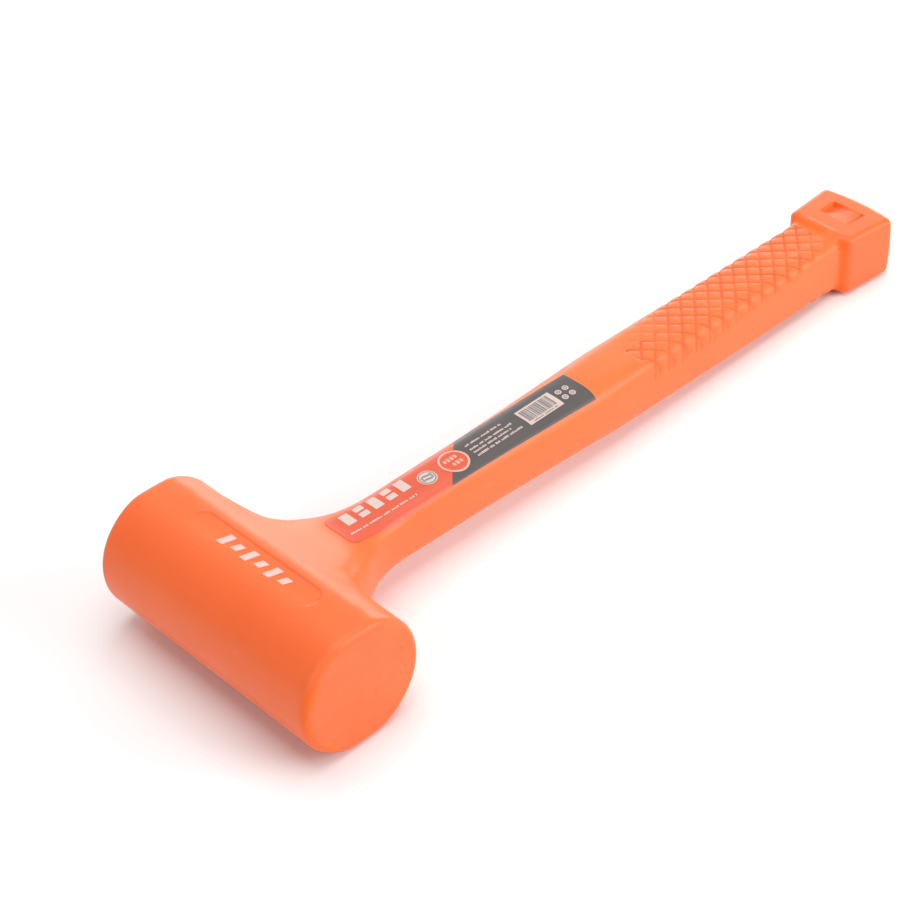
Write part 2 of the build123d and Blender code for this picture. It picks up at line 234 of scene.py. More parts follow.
def knurl(x, y, z):
    """How far the crossing grooves lower the grip's surface, and how much of that is groove, 0 to 1."""
    middle = sum(KNURL_Y) / 2
    level = 1.0
    swell = 1.0
    for turn in (1, -1):
        phase = (cos(KNURL_ANGLE) * (y - middle) - turn * sin(KNURL_ANGLE) * x) / KNURL_PITCH
        away = np.abs(phase - np.round(phase)) * KNURL_PITCH
        level = level * (1 - np.exp(-(away / KNURL_WIDTH) ** 2))
        swell = swell * np.sin(pi * away / KNURL_PITCH)
    upper_right, upper_left, lower_right = [
        np.interp(y, [p[0] for p in table], [p[1] for p in table])
        for table in (PADS_UPPER_RIGHT, PADS_UPPER_LEFT, PADS_LOWER_RIGHT)
    ]
    edge = np.where(x * z > 0, upper_right, np.where(z > 0, upper_left, lower_right))
    shown = smooth_step(-1.2, 1.2, np.abs(z) - edge)
    shown = shown * smooth_step(-0.5, 0.8, y - KNURL_Y[0]) * smooth_step(-0.8, 0.5, KNURL_Y[1] - y)
    return (KNURL_DEPTH * (1 - level) + PILLOW * (1 - swell) * level) * shown, (1 - level) * shown


def pommel_field(x, y, z, detail):
    """Flared block with a domed end and a shallow recess above and below."""
    t = (y - POMMEL_Y0) / (POMMEL_Y1 + 1 - POMMEL_Y0)
    w = POMMEL_FRONT[0] + (POMMEL_REAR[0] - POMMEL_FRONT[0]) * t
    h = POMMEL_FRONT[1] + (POMMEL_REAR[1] - POMMEL_FRONT[1]) * t
    dome = np.sqrt(x * x + z * z + (y - POMMEL_Y1 + POMMEL_DOME) ** 2) - POMMEL_DOME
    block = round_max((np.abs(x) - w, np.abs(z) - h, POMMEL_Y0 - y, dome), POMMEL_ROUND)
    wall = round_max((np.abs(x) - RECESS_HALF[0], np.abs(y - RECESS_Y) - RECESS_HALF[1]), 0.8)
    floor = RECESS_CURVE(np.clip(x, -RECESS_HALF[0], RECESS_HALF[0]))
    floor = floor * (1 - RECESS_RISE * smooth_step(RECESS_Y, RECESS_Y - RECESS_HALF[1], y))
    recess = floor * smooth_step(0.3, -0.3, wall) * (np.abs(z) > 6)
    return block + detail * recess


def jacket_field(x, y, z, detail=1):
    """Distance-like field of the moulding, negative inside.

    Detail 0 leaves out the grooves, the panels and the recesses.
    """
    head = head_field(x, y, z, detail)
    body, nx, ny, nz = swept_field(x, y, z)
    r = np.maximum(np.hypot(y, z), 1e-3)
    meet = np.clip(1 - (ny * y + nz * z) / r, 0.05, 1)
    roll = NECK_BLEND[0] + (NECK_BLEND[1] - NECK_BLEND[0]) * nx * nx
    reach = smooth_step(-4, 8, y) * smooth_step(47, 40, np.abs(x))
    solid = soft_min(head, body + detail * knurl(x, y, z)[0], roll * meet * reach + 1e-3)
    join = POMMEL_BLEND * smooth_step(POMMEL_JOIN[1], POMMEL_JOIN[0], y) + 1e-3
    return soft_min(solid, pommel_field(x, y, z, detail), join)


def jacket_shape(x, y, z):
    """The moulding without its fine relief: vertices move along this shape's normals."""
    return jacket_field(x, y, z, detail=0)


# ------------------------------------------------------------------ surface from the field


def graded(marks):
    """Grid positions from (start, step) marks; the last mark only closes the range."""
    out = []
    for (a, step), (b, _) in zip(marks, marks[1:]):
        count = max(1, round((b - a) / step))
        out += [a + (b - a) * i / count for i in range(count)]
    return np.array(out + [marks[-1][0]])


def field_on_grid(field, xs, ys, zs):
    """Values on the grid, a few planes along Y at a time; beside the handle it is plainly outside."""
    values = np.full((len(xs), len(ys), len(zs)), 10.0, np.float32)
    beside = 18.0
    past_head = 45.0
    for start in range(0, len(ys), 16):
        rows = slice(start, start + 16)
        near = np.abs(xs) < (beside if ys[rows][0] > past_head else 1e9)
        cols = np.flatnonzero(near)
        part = field(xs[cols][:, None, None], ys[rows][None, :, None], zs[None, None, :])
        values[cols[0]:cols[-1] + 1, rows] = part
    return values


def surface_net(values, xs, ys, zs):
    """Quads through the zero surface of gridded values, one vertex to each crossed cell."""
    inside = values < 0
    corners = [(i, j, k) for i in (0, 1) for j in (0, 1) for k in (0, 1)]
    size = np.array(values.shape) - 1
    count = np.zeros(size, np.int8)
    for i, j, k in corners:
        count += inside[i:size[0] + i, j:size[1] + j, k:size[2] + k]
    cells = np.argwhere((count > 0) & (count < 8))
    index = np.full(size, -1, np.int32)
    index[tuple(cells.T)] = np.arange(len(cells))
    total = np.zeros((len(cells), 3))
    hits = np.zeros(len(cells))
    axes = (xs, ys, zs)
    for a in corners:
        for axis in range(3):
            if a[axis]:
                continue
            b = tuple(1 if n == axis else a[n] for n in range(3))
            ca = cells + a
            cb = cells + b
            va = values[tuple(ca.T)].astype(float)
            vb = values[tuple(cb.T)].astype(float)
            crossed = (va < 0) != (vb < 0)
            t = np.where(crossed, va / np.where(crossed, va - vb, 1), 0)
            for n in range(3):
                low = axes[n][ca[:, n]]
                high = axes[n][cb[:, n]]
                total[:, n] += np.where(crossed, low + (high - low) * t, 0)
            hits += crossed
    points = total / hits[:, None]
    quads = []
    for axis in range(3):
        u, v = [n for n in range(3) if n != axis]
        shift = [0, 0, 0]
        shift[axis] = 1
        lower = inside[tuple(slice(0, s) if n == axis else slice(1, s) for n, s in enumerate(size))]
        upper = inside[tuple(slice(1, s + 1) if n == axis else slice(1, s) for n, s in enumerate(size))]
        at = np.argwhere(lower != upper)
        outward = lower[tuple(at.T)]
        at = at + [0 if n == axis else 1 for n in range(3)]
        around = []
        for du, dv in ((1, 1), (0, 1), (0, 0), (1, 0)):
            cell = at.copy()
            cell[:, u] -= du
            cell[:, v] -= dv
            around.append(index[tuple(cell.T)])
        ring = np.stack(around, 1)
        if axis == 1:
            outward = ~outward
        ring[~outward] = ring[~outward][:, ::-1]
        quads.append(ring)
    return points, np.concatenate(quads)


def slope_of(field, points, reach=0.02):
    """Gradient of the field by central differences."""
    out = np.empty_like(points)
    for axis in range(3):
        step = np.zeros(3)
        step[axis] = reach
        a = (points + step).T
        b = (points - step).T
        out[:, axis] = (field(*a) - field(*b)) / (2 * reach)
    return out


def settle(field, guide, points, rounds=6, reach=0.01):
    """Moves points along the guide's normals onto the field's zero surface; gives its normals too."""
    way = slope_of(guide, points)
    way /= np.linalg.norm(way, axis=1)[:, None]
    for _ in range(rounds):
        value = field(*points.T)
        ahead = field(*(points + way * reach).T)
        slope = np.maximum((ahead - value) / reach, 0.3)
        points = points - way * np.clip(value / slope, -0.5, 0.5)[:, None]
    slope = slope_of(field, points)
    return points, slope / np.linalg.norm(slope, axis=1)[:, None]


GRID_X = graded(((-49.4, 0.65), (-44, 1.3), (-28.5, 0.8), (-21.5, 1.3), (-12.2, 0.45),
                 (12.2, 1.3), (23.5, 0.8), (30.5, 1.3), (44, 0.65), (49.4, 0)))
GRID_Y = graded(((-24, 1.2), (-7, 0.6), (-4, 1.1), (4, 0.5), (7.5, 1.1), (40, 2.1), (157, 0.6),
                 (160, 0.42), (260, 0.5), (270, 0.38), (281.2, 0.5), (288.6, 0)))
GRID_Z = graded(((-23.6, 1.0), (-12.8, 0.49), (-3, 1.5), (3, 0.49), (12.8, 1.0), (23.6, 0)))
# ------------------------------------------------------------------ placing in the row frame
tube_low, tube_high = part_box("canister_tube")
HEAD_CENTRE = (tube_low + tube_high) / 2
TILT = atan2(FLAT_Z - POMMEL_LIE, POMMEL_LONG)
TO_ROW = Matrix.Translation(HEAD_CENTRE) @ Matrix.Rotation(-TILT, 4, "X") @ Matrix.Scale(MM, 4)


def placed(points):
    """Tool frame points in millimetres as row frame points in metres."""
    m = np.array(TO_ROW)
    return points @ m[:3, :3].T + m[:3, 3]


def mesh_object(name, points, faces):
    """A smooth-shaded mesh in the row frame, riding on the mallet."""
    mesh = bpy.data.meshes.new(name)
    mesh.from_pydata(placed(np.asarray(points, float)), [], faces)
    mesh.validate()
    mesh.polygons.foreach_set("use_smooth", [True] * len(mesh.polygons))
    made = bpy.data.objects.new(name, mesh)
    bpy.context.scene.collection.objects.link(made)
    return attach(made, "mallet")


# ------------------------------------------------------------------ jacket mesh


def lathe(profile, axis, turns=48):
    """Closed surface turned about X or Y from (station, radius) points, as points and faces."""
    points = []
    for at, r in profile:
        for i in range(turns):
            a = 2 * pi * i / turns
            ring = (r * cos(a), r * sin(a))
            points.append((at, *ring) if axis == "X" else (ring[1], at, ring[0]))
    faces = []
    for row in range(len(profile) - 1):
        for i in range(turns):
            j = (i + 1) % turns
            a = row * turns
            faces.append((a + i, a + j, a + turns + j, a + turns + i))
    faces.append(tuple(range(turns))[::-1])
    last = (len(profile) - 1) * turns
    faces.append(tuple(range(last, last + turns)))
    return points, faces


def room_surface():
    """The canister's room and the rod's bore, joined, as points and faces that face into the moulding."""
    bead = 1.6
    canister = [(-ROOM_HALF, ROOM_R)]
    for x in (-SEAM_X, SEAM_X):
        canister += [(x - bead, ROOM_R), (x - bead + 0.4, SEAM_R)]
        canister += [(x + bead - 0.4, SEAM_R), (x + bead, ROOM_R)]
    canister.append((ROOM_HALF, ROOM_R))
    bore = [(1.0, WELD_R), (ROOM_R + 4.1, WELD_R), (ROOM_R + 4.1, BORE_R)]
    for y in RING_Y:
        bore += [(y - 1.3, BORE_R), (y - 1.2, RING_R), (y + 1.2, RING_R), (y + 1.3, BORE_R)]
    bore.append((BORE_END, BORE_R))
    shapes = []
    for name, profile, axis in (("room", canister, "X"), ("bore", bore, "Y")):
        mesh = bpy.data.meshes.new(name)
        points, faces = lathe(profile, axis)
        mesh.from_pydata(points, [], faces)
        outward = bmesh.new()
        outward.from_mesh(mesh)
        bmesh.ops.recalc_face_normals(outward, faces=outward.faces)
        outward.to_mesh(mesh)
        outward.free()
        shape = bpy.data.objects.new(name, mesh)
        bpy.context.scene.collection.objects.link(shape)
        shapes.append(shape)
    room, bore = shapes
    join = room.modifiers.new("join", "BOOLEAN")
    join.operation = "UNION"
    join.solver = "EXACT"
    join.object = bore
    bpy.context.view_layer.update()
    whole = room.evaluated_get(bpy.context.evaluated_depsgraph_get()).to_mesh()
    points = np.array([v.co[:] for v in whole.vertices])
    faces = [tuple(p.vertices)[::-1] for p in whole.polygons]
    for shape in shapes:
        bpy.data.objects.remove(shape)
    return points, faces


def bell(q, width):
    return np.exp(-(q / width) ** 2)


def marks_of(points, normals):
    """Masks over the jacket, 0 to 1: rubs with a painted highlight, painted shade in creases, dirt and
    painted shade in grooves and hollows, thin wall.
    """
    x, y, z = points.T
    slopes = np.abs(normals)
    on_rim = bell(np.hypot(HEAD_HALF - np.abs(x), HEAD_R - np.hypot(y, z)) - 0.8, 2.2)
    on_face = smooth_step(0.9, 0.99, slopes[:, 0]) * (np.abs(x) > HEAD_HALF - 2)
    pommel_edge = smooth_step(0.25, 0.6, np.sort(slopes, axis=1)[:, 1]) * (y > POMMEL_Y0 + 2)
    # painted shade along the step from the grip to the pommel
    pommel_step = bell(y - POMMEL_Y0 + 0.6, 1.3)
    # painted shade along the sunk panel's edge
    panel_edge = bell(into_panel(x, y) - 0.1, 0.4) * smooth_step(-1.5, 1.5, y) * (z > HEAD_R / 2)
    wall = np.maximum(np.abs(x) - RECESS_HALF[0], np.abs(y - RECESS_Y) - RECESS_HALF[1])
    on_pommel = (np.abs(z) > 6) * (y > POMMEL_Y0 + 4)
    # painted shade on the recess's walls, fading towards +X
    recess_wall = bell(wall, 0.45) * smooth_step(1, -5, x) * on_pommel
    # painted shade on the recess floor towards -X and along its +X lip
    recess_floor = 0.3 * smooth_step(0.2, -0.4, wall) * smooth_step(3, -1, x) * on_pommel
    recess_lip = 1.3 * bell(x - 6.3, 0.8) * smooth_step(0.8, 0.2, wall) * on_pommel
    # the grooves darker: dirt in them, and painted shade, more on the top and bottom faces
    groove = knurl(x, y, z)[1] * (0.35 + 0.65 * smooth_step(0.15, 0.6, slopes[:, 2]))
    # wear on the striking face and the pommel's edges, and a painted highlight that lightens the upper rim
    wear_and_painted_highlight = np.maximum(0.5 * on_face, 0.4 * pommel_edge) + 0.3 * on_rim * smooth_step(8, 16, z)
    # painted shade: deeper, more saturated orange on the lower rim, along the pommel's step and on the
    # recess wall
    deep = np.maximum(np.maximum(on_rim * smooth_step(16, 8, z), pommel_step), recess_wall)
    # dirt in the grooves, and painted shade at the panel's edge and in the recess
    dirt_and_painted_shade = np.maximum(groove, 0.7 * panel_edge) + recess_floor + recess_lip
    return {
        "wear_and_painted_highlight": np.clip(wear_and_painted_highlight, 0, 1),
        "deep": np.clip(deep, 0, 1),
        "dirt_and_painted_shade": np.clip(dirt_and_painted_shade, 0, 1),
        "thin": smooth_step(10, 70, y) * smooth_step(264, 258, y),
    }


def make_jacket():
    values = field_on_grid(jacket_shape, GRID_X, GRID_Y, GRID_Z)
    points, quads = surface_net(values, GRID_X, GRID_Y, GRID_Z)
    points, _ = settle(jacket_shape, jacket_shape, points)
    points, normals = settle(jacket_field, jacket_shape, points)
    inner_points, inner_faces = room_surface()
    shift = len(points)
    faces = quads.tolist() + [tuple(i + shift for i in f) for f in inner_faces]
    jacket = mesh_object("jacket_moulding", np.vstack([points, inner_points]), faces)
    turn = np.array(TO_ROW.to_3x3().normalized())
    mesh = jacket.data
    inner_normals = np.array([v.normal[:] for v in mesh.vertices])[shift:]
    mesh.normals_split_custom_set_from_vertices(np.vstack([normals @ turn.T, inner_normals]))
    for name, values in marks_of(points, normals).items():
        whole = np.zeros(len(mesh.vertices), np.float32)
        whole[:shift] = values
        mesh.attributes.new(name, "FLOAT", "POINT").data.foreach_set("value", whole)
    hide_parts("jacket")
    return jacket


# ------------------------------------------------------------------ sticker and print as thin skins
LABEL_Y = (32.7, 137.8)
LABEL_LEFT = (-6.7, -7.2, -5.3)     # its long edges at the near end, at LABEL_MID_Y and at the far end
LABEL_RIGHT = (8.2, 7.8, 9.7)
LABEL_MID_Y = 80.0
LABEL_ROUND = (3.0, 0.2)    # corner rounding at the near and the far end
LABEL_CUT = (89.5, 74.6)    # slanted colour change, at the -X edge and at the +X edge
LIFT = 0.02                 # gap below the film
FILM = 0.12
INK = 0.05
APART = 0.004               # gap between a print and what it lies on
HEAD_LIFT = 0.01            # gap below the head's print
RING_AT = (0.8, 82.0)
RING_SIZE = 5.2
RING_LINE = 0.7
EMBLEM_AT = (0.65, 70.6)
EMBLEM_R = 3.3
WORD_AT = (-2.2, 51.0)
WORD_SIZE = (5.4, 28.5)
TAG_AT = (4.0, 35.6)
TAG_LONG = 27.5
LINES = ((-1.85, 15.7), (0.5, 18.7), (2.3, 16.0), (4.15, 19.5))
LINES_Y = 89.4
CODE_AT = (1.65, 119.5)
CODE_SIZE = (7.9, 15.2)
SPOTS = ((0.3, 129.6), (0.3, 132.9), (3.6, 129.6), (3.6, 132.9))
SPOT_R = 1.15
MARK_AT = (2.2, 0.1)
MARK_SIZE = (32.0, 5.0)
FINE = 1.2                  # length of a skin's cells


def grid_patch(corner, along_x, along_y, step=FINE):
    """Flat patch of quads between three corners, as points and faces."""
    corner, along_x, along_y = (np.array(v, float) for v in (corner, along_x, along_y))
    nx = max(1, round(float(np.linalg.norm(along_x)) / step))
    ny = max(1, round(float(np.linalg.norm(along_y)) / step))
    points = [corner + along_x * i / nx + along_y * j / ny for j in range(ny + 1) for i in range(nx + 1)]
    return points, grid_faces(nx, ny)


def grid_faces(nx, ny):
    row = nx + 1
    return [(j * row + i, j * row + i + 1, (j + 1) * row + i + 1, (j + 1) * row + i)
            for j in range(ny) for i in range(nx)]


def block_patch(x, y, w, h, lean=0.0):
    """Block centred at a point; lean slants it along X."""
    return grid_patch((x - w / 2 - lean / 2, y - h / 2), (w, 0), (lean, h))


def ring_patch(x, y, outer, inner=0.0, turns=40):
    """Disc or ring as rows of quads; a full disc closes with a fan."""
    rows = max(1, round((outer - inner) / FINE))
    radii = [outer + (inner - outer) * i / rows for i in range(rows + 1)]
    if inner == 0:
        radii.pop()
    points = []
    for r in radii:
        around = [2 * pi * i / turns for i in range(turns)]
        points += [(x + r * cos(a), y + r * sin(a)) for a in around]
    faces = []
    for row in range(len(radii) - 1):
        for i in range(turns):
            j = (i + 1) % turns
            a = row * turns
            faces.append((a + i, a + j, a + turns + j, a + turns + i))
    if inner == 0:
        last = (len(radii) - 1) * turns
        points.append((x, y))
        faces += [(last + i, last + (i + 1) % turns, len(points) - 1) for i in range(turns)]
    return [np.array(p) for p in points], faces


def film_patch(dark):
    """One colour of the sticker: columns along Y between its rounded end and the slanted colour change."""
    columns = 28
    rows = 60 if dark else 54
    stations = (LABEL_Y[0], LABEL_MID_Y, LABEL_Y[1])
    left = natural_spline(stations, LABEL_LEFT)
    right = natural_spline(stations, LABEL_RIGHT)

    def rounded(u, end):
        """How far the end of a column falls short because of the corner."""
        r = LABEL_ROUND[end]
        half = (LABEL_RIGHT[2 * end] - LABEL_LEFT[2 * end]) / 2
        into = max(0, r - (1 - abs(u)) * half)
        return r - sqrt(max(0, r * r - into * into))

    spread = [sin(pi / 2 * (2 * i / columns - 1)) for i in range(columns + 1)]
    ends = []
    for u in spread:
        cut = LABEL_CUT[0] + (LABEL_CUT[1] - LABEL_CUT[0]) * (u + 1) / 2
        if dark:
            ends.append((cut, LABEL_Y[1] - rounded(u, 1)))
        else:
            ends.append((LABEL_Y[0] + rounded(u, 0), cut))
    points = []
    for j in range(rows + 1):
        for u, (a, b) in zip(spread, ends):
            y = a + (b - a) * j / rows
            low, high = float(left(y)), float(right(y))
            points.append(np.array(((low + high) / 2 + u * (high - low) / 2, y)))
    return points, grid_faces(columns, rows)


def on_top(flat, start_z):
    """Points and normals where upright lines meet the jacket from above."""
    flat = np.asarray(flat, float)
    points = np.column_stack([flat, np.full(len(flat), start_z)])
    for _ in range(60):
        points[:, 2] -= np.clip(jacket_field(*points.T), -0.6, 0.6) * 0.9
    for _ in range(8):
        value = jacket_field(*points.T)
        points[:, 2] += 0.01
        slope = (jacket_field(*points.T) - value) / 0.01
        points[:, 2] -= 0.01 + value / np.maximum(slope, 0.2)
    slope = slope_of(jacket_field, points)
    return points, slope / np.linalg.norm(slope, axis=1)[:, None]


def skin(name, patches, low, high, node=None, material=None, start_z=14.0):
    """Closed thin skin over flat patches, between two heights above the jacket."""
    flat = []
    quads = []
    for points, faces in patches:
        quads += [tuple(i + len(flat) for i in f) for f in faces]
        flat += list(points)
    points, normals = on_top(flat, start_z)
    count = len(flat)
    faces = [tuple(f) for f in quads] + [tuple(i + count for i in f)[::-1] for f in quads]
    edges = {}
    for f in quads:
        for a, b in zip(f, f[1:] + f[:1]):
            edges[(a, b)] = edges.get((a, b), 0) + 1
    for a, b in edges:
        if (b, a) not in edges:
            faces.append((b, a, a + count, b + count))
    made = mesh_object(name, np.vstack([points + normals * high, points + normals * low]), faces)
    made.data.set_sharp_from_angle(angle=radians(40))
    if node:
        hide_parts(node)
    if material:
        made.data.materials.append(material)
    return made


def dashes(x, y0, length, width, rng):
    """A line of small plain ticks in groups, as fine print reads from a distance."""
    patches = []
    y = y0
    left = rng.randint(3, 8)
    while y < y0 + length:
        tick = rng.choice((0.38, 0.5, 0.62))
        tall = width * rng.choice((0.7, 0.85, 1.0))
        patches.append(block_patch(x + (width - tall) / 2, y + tick / 2, tall, tick))
        y += tick + 0.2
        left -= 1
        if left == 0:
            y += 0.55
            left = rng.randint(3, 8)
    return patches


def word_patches():
    """Row of plain blocks where a name would stand: tall, short pair, tall, and so on."""
    x, y = WORD_AT
    w, h = WORD_SIZE
    blocks = 5
    step = h / blocks
    patches = []
    for i in range(blocks):
        cy = y - h / 2 + (i + 0.5) * step
        if i % 2 == 0:
            patches.append(block_patch(x, cy, w, step * 0.62))
        else:
            patches.append(block_patch(x - w * 0.29, cy, w * 0.42, step * 0.62))
            patches.append(block_patch(x + w * 0.29, cy, w * 0.42, step * 0.62))
    return patches


def white_patches(rng):
    patches = word_patches()
    patches += dashes(TAG_AT[0], TAG_AT[1], TAG_LONG, 0.75, rng)
    patches.append(ring_patch(*EMBLEM_AT, EMBLEM_R))
    for x, length in LINES:
        patches += dashes(x, LINES_Y, length, 0.85, rng)
    patches.append(block_patch(*CODE_AT, *CODE_SIZE))
    for x, y in SPOTS:
        patches.append(ring_patch(x, y, SPOT_R, turns=20))
    return patches


def grey_patches(rng):
    """Bars of the code patch, the emblem's pattern and the spots' centres."""
    x, y = CODE_AT
    w, h = CODE_SIZE
    patches = []
    at = y - h / 2 + 1.0
    while at < y + h / 2 - 1.4:
        bar = rng.choice((0.22, 0.22, 0.34, 0.5, 0.72))
        patches.append(block_patch(x - 0.35, at + bar / 2, w - 2.3, bar))
        at += bar + rng.choice((0.22, 0.3, 0.45))
    patches += dashes(x + w / 2 - 0.75, y - h / 2 + 2.2, h - 4.4, 0.55, rng)
    x, y = EMBLEM_AT
    patches.append(ring_patch(x, y, EMBLEM_R - 0.35, EMBLEM_R - 0.7))
    for side in (-1, 1):
        patches.append(block_patch(x + side * 0.85, y, 0.7, 2.6, 0.5))
        patches.append(block_patch(x, y + side * 1.75, 2.2, 0.5))
    for sx, sy in SPOTS:
        patches.append(ring_patch(sx, sy, SPOT_R * 0.6, SPOT_R * 0.32, turns=16))
    return patches


def ring_patches(rng):
    """The printed ring, with two rows of plain blocks in it."""
    x, y = RING_AT
    patches = [ring_patch(x, y, RING_SIZE, RING_SIZE - RING_LINE, turns=56)]
    for dx, dy, count in ((-1.5, -0.4, 4), (1.3, 0.5, 3)):
        for i in range(count):
            tall = 1.7 * rng.choice((0.8, 1.0))
            patches.append(block_patch(x + dx, y + dy + (i - (count - 1) / 2) * 1.45, tall, 0.95))
    return patches


def mark_patches():
    """Slanted plain blocks printed in the head's upper panel."""
    blocks = 6
    w, h = MARK_SIZE
    step = w / blocks
    patches = []
    for i in range(blocks):
        x = MARK_AT[0] - w / 2 + (i + 0.5) * step
        tall = h if i % 2 == 0 else h * 0.62
        patches.append(block_patch(x, MARK_AT[1], step * 0.5, tall, 1.2))
    return patches


# ------------------------------------------------------------------ materials


class Nodes:
    """Short way to build a node material."""

    def __init__(self, name):
        self.material = bpy.data.materials.new(name)
        self.material.use_nodes = True
        self.tree = self.material.node_tree
        self.shader = self.tree.nodes["Principled BSDF"]

    def add(self, kind, **inputs):
        node = self.tree.nodes.new("ShaderNode" + kind)
        for key, value in inputs.items():
            if hasattr(node, key):
                setattr(node, key, value)
            else:
                self.put(node, key.replace("_", " "), value)
        return node

    def put(self, node, socket, value):
        """Sets a socket to a number or colour, or links it to another node's output."""
        if isinstance(value, bpy.types.NodeSocket):
            self.tree.links.new(value, node.inputs[socket])
        else:
            node.inputs[socket].default_value = value

    def noise(self, scale, detail=3.0, roughness=0.55, vector=None, seed=0.0):
        node = self.add("TexNoise", noise_dimensions="4D", Scale=scale, Detail=detail, Roughness=roughness,
                        W=seed)
        self.put(node, "Vector", vector or self.place())
        return node.outputs["Fac"]

    def place(self, stretch=(1, 1, 1), turn=(0, 0, 0)):
        """Object coordinates, turned and then stretched."""
        if not hasattr(self, "coordinates"):
            self.coordinates = self.add("TexCoord").outputs["Object"]
        if stretch == (1, 1, 1) and turn == (0, 0, 0):
            return self.coordinates
        node = self.add("Mapping", Scale=stretch, Rotation=turn)
        self.put(node, "Vector", self.coordinates)
        return node.outputs["Vector"]

    def ramp(self, fac, *stops):
        """Colour ramp over (position, colour) stops."""
        node = self.add("ValToRGB")
        self.put(node, "Fac", fac)
        elements = node.color_ramp.elements
        while len(elements) < len(stops):
            elements.new(0.5)
        for element, (position, colour) in zip(elements, stops):
            element.position = position
            element.color = (*colour, 1) if len(colour) == 3 else colour
        return node.outputs["Color"]

    def curve(self, fac, low, high, out_low=0.0, out_high=1.0):
        node = self.add("MapRange", clamp=True)
        for key, value in zip(("Value", "From Min", "From Max", "To Min", "To Max"),
                              (fac, low, high, out_low, out_high)):
            self.put(node, key, value)
        return node.outputs["Result"]

    def math(self, operation, a, b):
        node = self.add("Math", operation=operation)
        self.put(node, 0, a)
        self.put(node, 1, b)
        return node.outputs["Value"]

    def mix(self, fac, a, b):
        node = self.add("Mix", data_type="RGBA")
        self.put(node, "Factor", fac)
        for index, value in ((6, a), (7, b)):
            if isinstance(value, bpy.types.NodeSocket):
                self.tree.links.new(value, node.inputs[index])
            else:
                node.inputs[index].default_value = (*value, 1)
        return node.outputs[2]

    def bump(self, height, distance, strength=1.0, normal=None):
        node = self.add("Bump", Strength=strength, Distance=distance)
        self.put(node, "Height", height)
        if normal:
            self.put(node, "Normal", normal)
        return node.outputs["Normal"]


def moulded_plastic():
    """Soft satin moulding: cloudy pigment, fine grain, faint rubs and scratches, a painted highlight,
    painted shade in creases, recesses and grooves, dirt in the grooves.
    """
    n = Nodes("moulded_plastic")
    cloud = n.noise(22, 4, 0.6)
    colour = n.ramp(cloud, (0.3, PLASTIC_DEEP), (0.7, PLASTIC_LIGHT))
    wear_and_painted_highlight, deep, dirt_and_painted_shade, thin = [
        n.add("Attribute", attribute_name=k).outputs["Fac"] for k in ("wear_and_painted_highlight", "deep", "dirt_and_painted_shade", "thin")
    ]
    colour = n.mix(n.math("MULTIPLY", thin, 0.8), colour, PLASTIC_THIN)
    # painted shade: deeper, more saturated orange on the lower rim, the pommel's step and the recess wall
    colour = n.mix(n.math("MULTIPLY", deep, 0.9), colour, PLASTIC_PAINTED_SHADE)
    # paler where rubbed, and a painted highlight along the upper rim
    wear_and_painted_highlight = n.math("MULTIPLY", wear_and_painted_highlight, n.curve(n.noise(160, 5, 0.65, seed=3), 0.42, 0.66))
    colour = n.mix(n.math("MULTIPLY", wear_and_painted_highlight, 0.22), colour, PLASTIC_WEAR_AND_PAINTED_HIGHLIGHT)
    scratch = n.noise(240, 2, 0.5, n.place((1, 0.06, 1), (0.5, 0.2, 0.4)), seed=7)
    scratches = n.math("MULTIPLY", n.curve(scratch, 0.66, 0.72), n.curve(n.noise(55, 2, seed=9), 0.5, 0.62))
    colour = n.mix(n.math("MULTIPLY", scratches, 0.18), colour, PLASTIC_WEAR_AND_PAINTED_HIGHLIGHT)
    # darker: dirt in the grooves, and painted shade at the panel's edge and in the recess
    dirt_and_painted_shade = n.math("MULTIPLY", dirt_and_painted_shade, n.curve(n.noise(90, 3, 0.6, seed=12), 0.3, 0.6, 0.55, 1.0))
    colour = n.mix(n.math("MULTIPLY", dirt_and_painted_shade, 0.8), colour, PLASTIC_DIRT_AND_PAINTED_SHADE)
    rough = n.curve(n.noise(70, 4, 0.6, seed=5), 0.3, 0.7, 0.36, 0.46)
    rough = n.math("ADD", rough, n.math("MULTIPLY", wear_and_painted_highlight, 0.15))
    rough = n.math("ADD", rough, n.math("MULTIPLY", dirt_and_painted_shade, 0.4))
    n.put(n.shader, "Base Color", colour)
    n.put(n.shader, "Roughness", rough)
    n.shader.inputs["Subsurface Weight"].default_value = 0.12
    n.shader.inputs["Subsurface Radius"].default_value = (1.0, 0.35, 0.12)
    n.shader.inputs["Subsurface Scale"].default_value = 0.003
    n.shader.inputs["IOR"].default_value = 1.42
    grain = n.bump(n.noise(1500, 2, 0.5), 0.00004, 0.5)
    waves = n.bump(n.noise(75, 2, 0.4, seed=2), 0.00035, 0.35, grain)
    n.put(n.shader, "Normal", n.bump(scratches, 0.00005, 0.3, waves))
    return n.material


def printed_film(name, deep, light, rough):
    """Printed plastic film: slight mottling, faint rubs, and the substrate's waviness."""
    n = Nodes(name)
    n.put(n.shader, "Base Color", n.ramp(n.noise(90, 4, 0.6), (0.3, deep), (0.7, light)))
    wear = n.noise(140, 4, 0.6, seed=4)
    n.put(n.shader, "Roughness", n.curve(wear, 0.3, 0.7, rough - 0.05, rough + 0.08))
    n.put(n.shader, "Normal", n.bump(n.noise(420, 3, 0.5, seed=6), 0.00003, 0.4))
    return n.material


def printed_ink(name, colour, thin):
    """Ink that lets a little of what is below through where it is thin."""
    n = Nodes(name)
    cover = n.curve(n.noise(2600, 3, 0.6), 0.3, 0.5)
    n.put(n.shader, "Base Color", n.mix(cover, thin, colour))
    n.put(n.shader, "Roughness", n.curve(n.noise(300, 3, seed=2), 0.3, 0.7, 0.42, 0.56))
    n.put(n.shader, "Normal", n.bump(n.noise(1400, 2, seed=5), 0.00002, 0.4))
    return n.material


